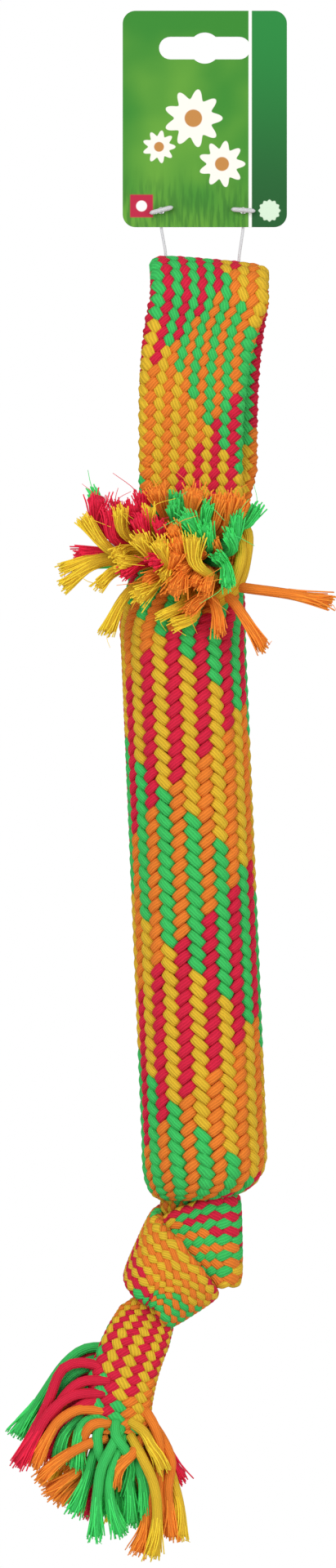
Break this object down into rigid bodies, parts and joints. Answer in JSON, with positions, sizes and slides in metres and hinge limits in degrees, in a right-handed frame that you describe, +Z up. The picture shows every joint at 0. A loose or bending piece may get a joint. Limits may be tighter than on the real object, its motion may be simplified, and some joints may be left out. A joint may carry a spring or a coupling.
{
  "type": "crackle stick dog toy",
  "caption": "Crackle stick dog toy: braided cotton sleeve round a thin plastic bottle, with a handle loop, yarn tufts and a knotted tail, hung from a printed card.",
  "frame": {"origin": "top of the hang slot in the card, where the peg carries the toy, halfway through the card", "axes": "+Z up, along the toy's length; +X to the right as seen from the front; -Y towards the viewer"},
  "size_m": [0.1196, 0.0646, 0.5338],
  "materials": {
    "card": "printed, semi-gloss",
    "nylon": "translucent nylon",
    "braid": "braid of red, orange, yellow and green cotton yarns",
    "yarn_red": "cotton yarn",
    "yarn_orange": "cotton yarn",
    "yarn_yellow": "cotton yarn",
    "yarn_green": "cotton yarn",
    "bottle": "thin clear PET",
    "cap": "moulded"
  },
  "bodies": {
    "card": {"hang_card": "card"},
    "pins": {"tag_pin_left": "nylon", "tag_pin_right": "nylon"},
    "handle": {"handle_strap": "braid", "strap_root_front": "braid", "strap_root_rear": "braid"},
    "stick": {"braid_sleeve": "braid", "loop_end": "braid", "crackle_bottle": "bottle", "bottle_cap": "cap", "tuft_yarn_01": "yarn_red", "tuft_yarn_02": "yarn_orange", "tuft_yarn_03": "yarn_orange", "tuft_yarn_04": "yarn_red", "tuft_yarn_05": "yarn_yellow", "tuft_yarn_06": "yarn_red", "tuft_yarn_07": "yarn_green", "tuft_yarn_08": "yarn_green", "tuft_yarn_09": "yarn_yellow", "tuft_yarn_10": "yarn_yellow", "tuft_yarn_11": "yarn_yellow", "tuft_yarn_12": "yarn_orange", "tuft_yarn_13": "yarn_green", "tuft_yarn_14": "yarn_green", "tuft_yarn_15": "yarn_red", "tuft_yarn_16": "yarn_yellow", "tuft_yarn_17": "yarn_orange", "tuft_yarn_18": "yarn_yellow", "tuft_yarn_19": "yarn_orange", "tuft_yarn_20": "yarn_orange", "tuft_yarn_21": "yarn_yellow", "tuft_yarn_22": "yarn_yellow", "tuft_yarn_23": "yarn_orange"},
    "knot": {"knot_neck": "braid", "knot": "braid"},
    "tail": {"tail_root": "braid", "tail_braid": "braid", "tail_yarn_01": "yarn_green", "tail_yarn_02": "yarn_red", "tail_yarn_03": "yarn_green", "tail_yarn_04": "yarn_red", "tail_yarn_05": "yarn_red", "tail_yarn_06": "yarn_orange", "tail_yarn_07": "yarn_orange", "tail_yarn_08": "yarn_green", "tail_yarn_09": "yarn_orange", "tail_yarn_10": "yarn_orange", "tail_yarn_11": "yarn_green", "tail_yarn_12": "yarn_green", "tail_yarn_13": "yarn_green", "tail_yarn_14": "yarn_green", "tail_yarn_15": "yarn_orange", "tail_yarn_16": "yarn_orange", "tail_yarn_17": "yarn_yellow", "tail_yarn_18": "yarn_green", "tail_yarn_19": "yarn_yellow", "tail_yarn_20": "yarn_orange", "tail_yarn_21": "yarn_red"}
  },
  "joints": [
    {"name": "card_pins", "type": "hinge", "parent": "card", "child": "pins", "pos_m": [0, 0, -0.0623], "axis": [1, 0, 0], "range_deg": [0, 40]},
    {"name": "handle_swing", "type": "hinge", "parent": "pins", "child": "handle", "pos_m": [0, 0, -0.08929], "axis": [0.9962, 0, -0.0872], "range_deg": [-40, 40]},
    {"name": "neck_bend", "type": "hinge", "parent": "handle", "child": "stick", "pos_m": [0, 0, -0.1578], "axis": [1, 0, 0], "range_deg": [-35, 35], "deforming": ["strap_root_front", "strap_root_rear"]},
    {"name": "knot_bend", "type": "hinge", "parent": "stick", "child": "knot", "pos_m": [-0.0074, 0.0035, -0.4115], "axis": [0, 1, 0], "range_deg": [0, 18], "deforming": ["knot_neck"]},
    {"name": "tail_bend", "type": "hinge", "parent": "knot", "child": "tail", "pos_m": [-0.0214, -0.0035, -0.4525], "axis": [0.9511, 0, -0.309], "range_deg": [-30, 30], "deforming": ["tail_root"]}
  ]
}
